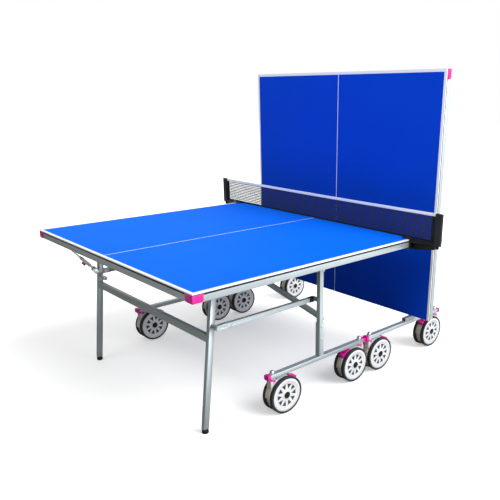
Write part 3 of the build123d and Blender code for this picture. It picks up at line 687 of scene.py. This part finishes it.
class TABLE_OT_fittings(bpy.types.Operator):
    """Add the bar sleeves, brackets, stay channels and post bolts"""

    bl_idname = "table.fittings"
    bl_label = "Fittings"

    def execute(self, context):
        for half in HALVES:
            for hand, tag in ((1, half + "1"), (-1, half + "2")):
                self.link_ends(half, hand, tag)
                self.post_bolts(half, hand, tag)
            self.stay_channel(half)
        return {"FINISHED"}

    def link_ends(self, half, hand, tag):
        """A link bar's black sleeve at the post, and its slotted bracket and bolt at the leg."""
        sleeve_long, sleeve_wide, sleeve_at = 0.028, 0.0212, 0.0255
        bracket_long, bracket_wide = 0.056, 0.0216
        bracket_back, slot_back, bolt_back = 0.047, 0.018, 0.058
        bar_half_width, ends_past_pivots = 0.01, 0.023
        low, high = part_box("link_bars_a")
        side = hand * (high.y - bar_half_width)
        reach = high.x - low.x - ends_past_pivots
        deep = high.z - low.z
        block_size = (sleeve_long, sleeve_wide, deep + 0.0014)
        block = cube("end_block_" + tag, block_size, (sleeve_at, side, 0.0))
        soften(block, 0.0012, 3)
        finish_piece(block, "black")
        bracket_size = (bracket_long, bracket_wide, deep + 0.003)
        bracket = cube("link_bracket_" + tag, bracket_size, (reach - bracket_back, side, 0.0))
        slot_size = (0.04, 0.05, deep * 0.45)
        carve(bracket, cube("slot", slot_size, (reach - slot_back, side, 0.0)))
        soften(bracket, 0.0012, 3)
        finish_piece(bracket, "steel")
        head = bolt_head(
            "bracket_bolt_" + tag,
            radius=0.0065,
            height=0.0035,
            at=(reach - bolt_back, side + hand * bracket_wide / 2, 0.0),
            turn=(-hand * math.pi / 2, 0.0, 0.0),
        )
        bar = along(half, "links_turn_")
        for piece in (block, bracket, head):
            piece.data.transform(bar)
            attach(piece, "links_" + half)

    def post_bolts(self, half, hand, tag):
        """Two bolt heads on the outer face of a post's sleeve."""
        heights = (0.31, 0.377)
        post_x = JOINTS["links_turn_" + half]["pos_m"][0]
        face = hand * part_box("trolley_frame_" + half)[1].y
        for number, height in enumerate(heights, 1):
            bolt = bolt_head(
                "post_bolt_%s%d" % (tag, number),
                radius=0.005,
                height=0.004,
                at=(post_x, face, height),
                turn=(-hand * math.pi / 2, 0.0, 0.0),
            )
            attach(bolt, "trolley_" + half)

    def stay_channel(self, half):
        """The open channel round the stay, clear of the leg's lug."""
        channel_size, hollow_size = (0.063, 0.0186, 0.0252), (0.1, 0.0126, 0.0226)
        middle = (0.0635, 0.0, 0.0)
        channel = cube("stay_channel_" + half, channel_size, middle)
        carve(channel, cube("hollow", hollow_size, middle))
        soften(channel, 0.0008, 3)
        finish_piece(channel, "zinc")
        axis = Vector(JOINTS["catch_slide_" + half]["axis"])
        channel.data.transform(along(half, "stay_turn_", axis.normalized()))
        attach(channel, "stay_" + half)


def tread_tyre(radius, width):
    """One tyre about the Z axis: a tread cut by cross grooves, and rounded shoulders."""
    blocks = 60
    tyre = cylinder("tyre", radius, width, vertices=2 * blocks)
    for side in (1, -1):
        step_cap(tyre, side, ((0.0025, 0.0), (0.0085, 0.0), (0.0, -0.003)))
    groove(tyre, radius * 0.97, 0.0009, 0.0012)
    soften(tyre, 0.0012, 2, 50.0)
    return tyre


def wheel_centre(radius, width):
    """One moulded wheel centre about the Z axis, its outer face up: rim, windowed web and boss."""
    outer_steps = ((0.0115, 0.0), (0.0008, -0.0022), (0.046, 0.0), (0.0015, 0.0028))
    inner_steps = ((0.004, 0.0), (0.004, -0.002))
    windows, ring_radius, window_radius, window_height = 10, 0.048, 0.0155, 0.015
    window_shape = (0.95, 1.15, 1.0)
    hub = cylinder("hub", radius, width, vertices=80)
    step_cap(hub, 1, outer_steps)
    step_cap(hub, -1, inner_steps)
    cutters = []
    for number in range(windows):
        angle = 2 * math.pi * number / windows
        cutter = cylinder("window", window_radius, window_height, vertices=3)
        cutter.scale = window_shape
        cutter.rotation_euler = (0.0, 0.0, angle + math.pi / 2)
        cutter.location = (ring_radius * math.cos(angle), ring_radius * math.sin(angle), width / 2)
        settle(cutter)
        cutters.append(cutter)
    carve(hub, join(cutters, "windows"))
    soften(hub, 0.0005, 2, 40.0)
    return hub


def rib_set(radius, width):
    """Fine radial ribs between the windows and the rim of a wheel centre."""
    count, rib_size, sunk, from_rim = 40, (0.0125, 0.0011, 0.0022), 0.0016, 0.0185
    middle = radius - from_rim
    ribs = []
    for number in range(count):
        angle = 2 * math.pi * (number + 0.5) / count
        at = (middle * math.cos(angle), middle * math.sin(angle), width / 2 - sunk)
        ribs.append(cube("rib", rib_size, at, (0.0, 0.0, angle)))
    return join(ribs, "ribs")


def centre_cap(width):
    """The black cap over a wheel's axle, about the Z axis."""
    cap_radius, cap_height, sunk = 0.0175, 0.010, 0.0035
    cap = cylinder("cap", cap_radius, cap_height, (0.0, 0.0, width / 2 - sunk), vertices=40)
    step_cap(cap, 1, ((0.004, -0.0012), (0.004, 0.0008)))
    soften(cap, 0.0009, 2, 40.0)
    return cap


class TABLE_OT_casters(bpy.types.Operator):
    """Build the twin wheels with ribbed tyres, and dress the fenders and pedals"""

    bl_idname = "table.casters"
    bl_label = "Casters"

    def execute(self, context):
        low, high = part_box("caster_tyres_a1")
        radius = (high.z - low.z) / 2
        hub_low, hub_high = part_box("caster_hubs_a1")
        hub_radius = (hub_high.z - hub_low.z) / 2
        hub_clearance, collar_z = 0.001, 0.185
        middle = (low.y + high.y) / 2
        inner = min(abs(v.co.y - middle) for v in NODES["caster_tyres_a1"].data.vertices)
        width = (high.y - low.y) / 2 - inner
        offset = inner + width / 2
        models = {
            "tyre": (tread_tyre(radius, width), "rubber"),
            "hub": (wheel_centre(hub_radius, width - hub_clearance), "white"),
            "ribs": (rib_set(hub_radius, width - hub_clearance), "white"),
            "cap": (centre_cap(width), "black"),
            "collar": (tube_ring("collar", inner=0.0135, outer=0.0172, height=0.016), "magenta"),
        }
        for model, finish in models.values():
            finish_piece(model, finish)
        for caster in CASTERS:
            axle = Vector(JOINTS["wheel_spin_" + caster]["pos_m"])
            for kind, model, node in (
                ("tyres", "tyre", "caster_tyres_"),
                ("wheel_centres", "hub", "caster_hubs_"),
                ("ribs", "ribs", None),
                ("centre_caps", "cap", None),
            ):
                pair = []
                for side in (1, -1):
                    turn = Matrix.Rotation(math.radians(-90.0 * side), 4, "X")
                    move = Matrix.Translation(axle + Vector((0.0, side * offset, 0.0))) @ turn
                    pair.append(copy_of(models[model][0], kind, move))
                piece = join(pair, kind + "_" + caster)
                if node:
                    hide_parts(node + caster)
                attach(piece, "wheels_" + caster)
            swivel = JOINTS["swivel_" + caster]["pos_m"]
            place = Matrix.Translation((swivel[0], swivel[1], collar_z))
            ring = copy_of(models["collar"][0], "collar_" + caster, place)
            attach(ring, "caster_" + caster)
            dressed("caster_housing_" + caster, "fender", 0.0018)
            dressed("brake_pedal_" + caster, "magenta", 0.002)
        for model, _ in models.values():
            discard(model)
        return {"FINISHED"}


def hang(piece, low, high):
    """Let a piece of the net droop and ripple a little between the posts."""
    droop, ripple, waves = 0.003, 0.0008, 21.0
    middle, across, tall = (low.y + high.y) / 2, high.y - low.y, high.z - low.z
    for vertex in piece.data.vertices:
        fall = max(0.0, 1.0 - (2.0 * (vertex.co.y - middle) / across) ** 2)
        share = max(0.0, (vertex.co.z - low.z) / tall)
        vertex.co.z -= droop * fall * share
        vertex.co.x += ripple * math.sin(vertex.co.y * waves) * fall


def cut_across(band, wide, cuts):
    """Divide a band's long edges, so that it can hang."""
    activate(band)
    bpy.ops.object.mode_set(mode="EDIT")
    bpy.ops.mesh.select_all(action="DESELECT")
    bpy.ops.object.mode_set(mode="OBJECT")
    for edge in band.data.edges:
        ends = [band.data.vertices[index].co for index in edge.vertices]
        edge.select = abs(ends[0].y - ends[1].y) > 0.9 * wide
    bpy.ops.object.mode_set(mode="EDIT")
    bpy.ops.mesh.select_mode(type="EDGE")
    bpy.ops.mesh.subdivide(number_cuts=cuts)
    bpy.ops.object.mode_set(mode="OBJECT")


def knurled_knob(name):
    """A short knob about the Z axis, with a grooved rim and a dished top."""
    radius, height, grooves = 0.0085, 0.016, 12
    knob = cylinder(name, radius, height, vertices=2 * grooves)
    step_cap(knob, 1, ((0.0022, 0.0), (0.001, -0.0012)))
    groove(knob, 0.0, 0.0002, 0.0006)
    soften(knob, 0.0004, 2, 40.0)
    return knob


class TABLE_OT_net(bpy.types.Operator):
    """Stretch the net between its clamped posts"""

    bl_idname = "table.net"
    bl_label = "Net and posts"

    def execute(self, context):
        low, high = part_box("net_sheet")
        middle = (low + high) / 2
        across, tall = high.y - low.y, high.z - low.z
        start()
        bpy.ops.mesh.primitive_grid_add(
            x_subdivisions=12,
            y_subdivisions=120,
            size=1.0,
            location=middle,
            rotation=(0.0, math.radians(90.0), 0.0),
        )
        net = context.object
        net.name = "net"
        net.scale = (tall, across, 1.0)
        settle(net)
        hang(net, low, high)
        bpy.ops.object.shade_smooth()
        finish_piece(net, "net")
        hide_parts("net_sheet")
        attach(net, "top_a")
        bands = self.edge_bands(low, high)
        dressed("net_posts", "black", 0.0015)
        for hand in (1, -1):
            self.clamp(hand, middle.x)
        for number in ("1", "2"):
            dressed("net_clamp_screw_" + number, "black", 0.001)
        return {"FINISHED"}

    def edge_bands(self, low, high):
        """The tape along the net's top, the band along its foot and a hem beside each post."""
        tape = bpy.context.scene.table_sizes.tape_height
        foot, foot_gap, hem_gap = 0.009, 0.001, 0.0005
        post_gap, overlap, top_zone = 0.0005, 0.004, 0.02
        long_cuts, short_cuts = 60, 4
        middle = (low + high) / 2
        across, tall = high.y - low.y, high.z - low.z
        posts = [v.co for v in NODES["net_posts"].data.vertices if v.co.z > high.z - top_zone]
        reach = min(abs(point.y) for point in posts) - post_gap
        hem = reach - across / 2 + overlap
        hem_tall, hem_bottom = tall - tape - 0.001, low.z + hem_gap
        bands = []
        for name, wide, height, bottom, finish, thick, aside in (
            ("net_tape", 2 * reach, tape, high.z - tape, "tape", 0.0026, 0.0),
            ("net_bottom_band", 2 * reach, foot, low.z + foot_gap, "black", 0.003, 0.0),
            ("net_hem_1", hem, hem_tall, hem_bottom, "black", 0.0024, reach - hem / 2),
            ("net_hem_2", hem, hem_tall, hem_bottom, "black", 0.0024, hem / 2 - reach),
        ):
            at = (middle.x, middle.y + aside, bottom + height / 2)
            band = cube(name, (thick, wide, height), at)
            cut_across(band, wide, long_cuts if wide > across else short_cuts)
            hang(band, low, high)
            soften(band, 0.0008, 2, 60.0)
            finish_piece(band, finish)
            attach(band, "top_a")
            bands.append(band)
        return bands

    def clamp(self, hand, across_x):
        """The clamp's moulded body under its arm, with the post's two knobs."""
        tag = "1" if hand > 0 else "2"
        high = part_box("net_posts")[1]
        inner, outer = 0.7665, high.y - 0.034
        half_way = (inner + outer) / 2
        thick, tall, body_z, taper = 0.017, 0.042, 0.723, 0.022
        body_at = (across_x, hand * half_way, body_z)
        body = cube("clamp_body_" + tag, (thick, outer - inner, tall), body_at)
        for vertex in body.data.vertices:
            if abs(vertex.co.y) > half_way and vertex.co.z < body_z:
                vertex.co.z += taper
        pick_faces(body, lambda face: abs(face.normal.x) > 0.9)
        bpy.ops.mesh.inset(thickness=0.005, depth=-0.0012, use_individual=True)
        bpy.ops.object.mode_set(mode="OBJECT")
        soften(body, 0.0018, 3)
        finish_piece(body, "black")
        ends = [v.co for v in NODES["net_posts"].data.vertices if abs(v.co.y) > high.y - 0.005]
        foot = min(point.z for point in ends)
        stand_off, post_in, knob_in, knob_z = 0.0082, 0.02, 0.0095, 0.778
        knob = knurled_knob("tension_knob_" + tag)
        under = Matrix.Translation((across_x, hand * (high.y - post_in), foot - stand_off))
        screw = copy_of(knob, "post_screw_" + tag, under @ Matrix.Rotation(math.pi, 4, "X"))
        beside = Matrix.Translation((high.x + stand_off, hand * (high.y - knob_in), knob_z))
        knob.data.transform(beside @ Matrix.Rotation(math.pi / 2, 4, "Y"))
        finish_piece(knob, "zinc")
        finish_piece(screw, "black")
        for piece in (body, knob, screw):
            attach(piece, "top_a")


# ---------------------------------------------------------------- stage
def look_matrix(stage):
    """The camera's place and turn, from its heading, tilt and roll."""
    heading, tilt, roll = (math.radians(v) for v in (stage.heading, stage.tilt, stage.roll))
    level = math.cos(tilt)
    ahead = Vector((math.sin(heading) * level, math.cos(heading) * level, math.sin(tilt)))
    right = ahead.cross(Vector((0.0, 0.0, 1.0))).normalized()
    up = right.cross(ahead)
    right, up = (
        right * math.cos(roll) + up * math.sin(roll),
        up * math.cos(roll) - right * math.sin(roll),
    )
    turn = Matrix((right, up, -ahead)).transposed().to_4x4()
    return Matrix.Translation(Vector(stage.camera_at)) @ turn


def screen(name, size, at, material, turn=UNTURNED):
    """A flat sheet of the studio."""
    start()
    bpy.ops.mesh.primitive_plane_add(size=1.0, location=at, rotation=turn)
    sheet = bpy.context.object
    sheet.name = name
    sheet.scale = (size[0], size[1], 1.0)
    settle(sheet)
    sheet.data.materials.append(material)
    return sheet


def floor_paint(stage):
    """Nearly even white floor that glows a little."""
    glow = solid(stage.floor)
    paint = Paint("floor", Roughness=0.9, Emission_Color=glow, Emission_Strength=stage.floor_glow)
    grain = paint.noise(paint.place(), 2.0, 2.0)
    paint.feed("Base Color", paint.mix(grain, solid(stage.floor, 0.99), solid(stage.floor, 1.01)))
    return paint.material


def room_light(ambient):
    """The world's light: white from below and from the sides, and grey overhead."""
    world = bpy.data.worlds.new("studio")
    world.use_nodes = True
    tree = world.node_tree
    background = tree.nodes["Background"]
    background.inputs["Strength"].default_value = ambient
    place = tree.nodes.new("ShaderNodeTexCoord")
    split = tree.nodes.new("ShaderNodeSeparateXYZ")
    ramp = tree.nodes.new("ShaderNodeValToRGB")
    for element, height, grey in zip(ramp.color_ramp.elements, (0.45, 0.70), (1.0, 0.35)):
        element.position = height
        element.color = (grey, grey, grey, 1.0)
    tree.links.new(place.outputs["Generated"], split.inputs["Vector"])
    tree.links.new(split.outputs["Z"], ramp.inputs["Fac"])
    tree.links.new(ramp.outputs["Color"], background.inputs["Color"])
    return world


def lamp(name, energy, source):
    """A large soft light that shines from the given direction."""
    sun_width = math.radians(45.0)
    sun = bpy.data.lights.new(name, "SUN")
    sun.energy = energy
    sun.angle = sun_width
    made = bpy.data.objects.new(name, sun)
    bpy.context.scene.collection.objects.link(made)
    made.rotation_euler = Vector(source).to_track_quat("Z", "Y").to_euler()


def make_camera(stage):
    """The camera that the stage's settings describe."""
    lens = bpy.data.cameras.new("camera")
    lens.sensor_width = 36.0
    lens.lens = stage.lens
    lens.shift_x = stage.shift_x
    lens.shift_y = stage.shift_y
    lens.clip_end = 200.0
    camera = bpy.data.objects.new("camera", lens)
    bpy.context.scene.collection.objects.link(camera)
    camera.matrix_world = look_matrix(stage)
    return camera


class TABLE_OT_stage(bpy.types.Operator):
    """Set the floor, the lights and the camera"""

    bl_idname = "table.stage"
    bl_label = "Studio"

    def execute(self, context):
        stage = context.scene.table_stage
        floor = screen("floor", (60.0, 60.0), ORIGIN, floor_paint(stage))
        floor.visible_diffuse = False
        floor.visible_glossy = False
        felt = cloth_paint("grey felt", (0.5, 0.49, 0.44, 1.0), (0.54, 0.53, 0.48, 1.0))
        mat = screen("dark_mat", (10.0, 9.0), (-4.0, 3.5, -0.02), felt)
        mat.visible_camera = False
        black = cloth_paint("flag cloth", (0.004, 0.004, 0.004, 1.0), (0.008, 0.008, 0.008, 1.0))
        upright = (0.0, math.radians(90.0), 0.0)
        flag = screen("black_flag", (3.6, 14.5), (-4.2, -0.75, 2.1), black, upright)
        flag.visible_camera = False
        context.scene.world = room_light(stage.ambient)
        lamp("key", stage.key, (0.4, -0.9, 0.8))
        lamp("overhead", stage.overhead, (-0.95, -0.05, 0.9))
        lamp("fill", stage.fill, (0.45, -1.0, 0.22))
        context.scene.camera = make_camera(stage)
        context.scene.view_settings.view_transform = "Standard"
        return {"FINISHED"}


class TABLE_PT_panel(bpy.types.Panel):
    """Lists the steps that dress the table"""

    bl_label = "Ping pong table"
    bl_idname = "TABLE_PT_panel"
    bl_space_type = "VIEW_3D"
    bl_region_type = "UI"
    bl_category = "Ping pong table"

    def draw(self, context):
        for operator in OPERATORS:
            self.layout.operator(operator.bl_idname)
        for holder in GROUPS:
            group = getattr(context.scene, holder)
            box = self.layout.box()
            for name in group.__annotations__:
                box.prop(group, name)


GROUPS = {"table_colours": TableColours, "table_sizes": TableSizes, "table_stage": StageSettings}
OPERATORS = (
    TABLE_OT_boards,
    TABLE_OT_frames,
    TABLE_OT_fittings,
    TABLE_OT_casters,
    TABLE_OT_net,
    TABLE_OT_stage,
)


def register():
    for name, group in GROUPS.items():
        bpy.utils.register_class(group)
        setattr(bpy.types.Scene, name, bpy.props.PointerProperty(type=group))
    for operator in OPERATORS:
        bpy.utils.register_class(operator)
    bpy.utils.register_class(TABLE_PT_panel)


def unregister():
    bpy.utils.unregister_class(TABLE_PT_panel)
    for operator in reversed(OPERATORS):
        bpy.utils.unregister_class(operator)
    for name, group in GROUPS.items():
        delattr(bpy.types.Scene, name)
        bpy.utils.unregister_class(group)


def main():
    register()
    make_finishes()
    bpy.ops.table.boards()
    bpy.ops.table.frames()
    bpy.ops.table.fittings()
    bpy.ops.table.casters()
    bpy.ops.table.net()
    bpy.ops.table.stage()
    start()


if __name__ == "__main__":
    main()
